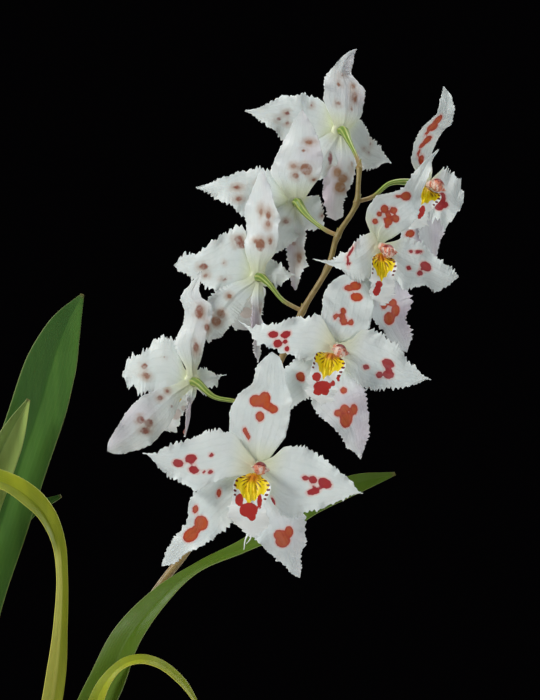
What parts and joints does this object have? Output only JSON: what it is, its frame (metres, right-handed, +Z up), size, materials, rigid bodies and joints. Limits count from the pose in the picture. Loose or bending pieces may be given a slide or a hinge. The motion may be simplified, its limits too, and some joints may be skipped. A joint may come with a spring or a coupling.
{
  "type": "potted orchid",
  "caption": "Potted odontoglossum crispum orchid with an arching spike of white blooms spotted in red, strap leaves and pseudobulbs in a plain terracotta pot.",
  "frame": {"origin": "centre of the pot's underside, on the surface that the pot stands on", "axes": "+Z up from the pot's underside to the top of the flower spike, -Y towards the viewer that the front blooms face, +X to the side that the spike leans to"},
  "size_m": [0.3202, 0.126, 0.4748],
  "materials": {
    "terracotta": "unglazed, matt, with faint throwing rings",
    "bark": "rough, dry chips",
    "pseudobulb": "smooth, waxy, with fine ribs",
    "leaf_green": "satin, waxy, with fine lengthwise veins",
    "leaf_pale": "satin, waxy, with fine lengthwise veins",
    "leaf_yellow_green": "satin, waxy, with fine lengthwise veins",
    "stem": "satin, tan, turning green on the stalks",
    "sepal": "soft, matt, white with red-brown spots",
    "petal": "soft, matt, white with crimson spots",
    "lip": "soft, matt, white with a yellow throat and dark red blotches",
    "column": "waxy, salmon with a red-brown hood"
  },
  "bodies": {
    "root": {"pot": "terracotta", "growing_medium": "bark", "pseudobulb_front": "pseudobulb", "pseudobulb_middle": "pseudobulb", "pseudobulb_back": "pseudobulb", "leaf_tall": "leaf_green", "leaf_folded": "leaf_pale", "leaf_arching": "leaf_yellow_green", "leaf_long": "leaf_green", "leaf_curled": "leaf_yellow_green", "leaf_behind": "leaf_green", "leaf_left": "leaf_green", "leaf_rear": "leaf_green", "flower_stem": "stem", "bloom_1_sepals": "sepal", "bloom_1_petals": "petal", "bloom_1_lip": "lip", "bloom_1_column": "column", "bloom_2_sepals": "sepal", "bloom_2_petals": "petal", "bloom_2_lip": "lip", "bloom_2_column": "column", "bloom_3_sepals": "sepal", "bloom_3_petals": "petal", "bloom_3_lip": "lip", "bloom_3_column": "column", "bloom_4_sepals": "sepal", "bloom_4_petals": "petal", "bloom_4_lip": "lip", "bloom_4_column": "column", "bloom_5_sepals": "sepal", "bloom_5_petals": "petal", "bloom_5_lip": "lip", "bloom_5_column": "column", "bloom_6_sepals": "sepal", "bloom_6_petals": "petal", "bloom_6_lip": "lip", "bloom_6_column": "column", "bloom_7_sepals": "sepal", "bloom_7_petals": "petal", "bloom_7_lip": "lip", "bloom_7_column": "column", "bloom_8_sepals": "sepal", "bloom_8_petals": "petal", "bloom_8_lip": "lip", "bloom_8_column": "column"}
  },
  "joints": []
}
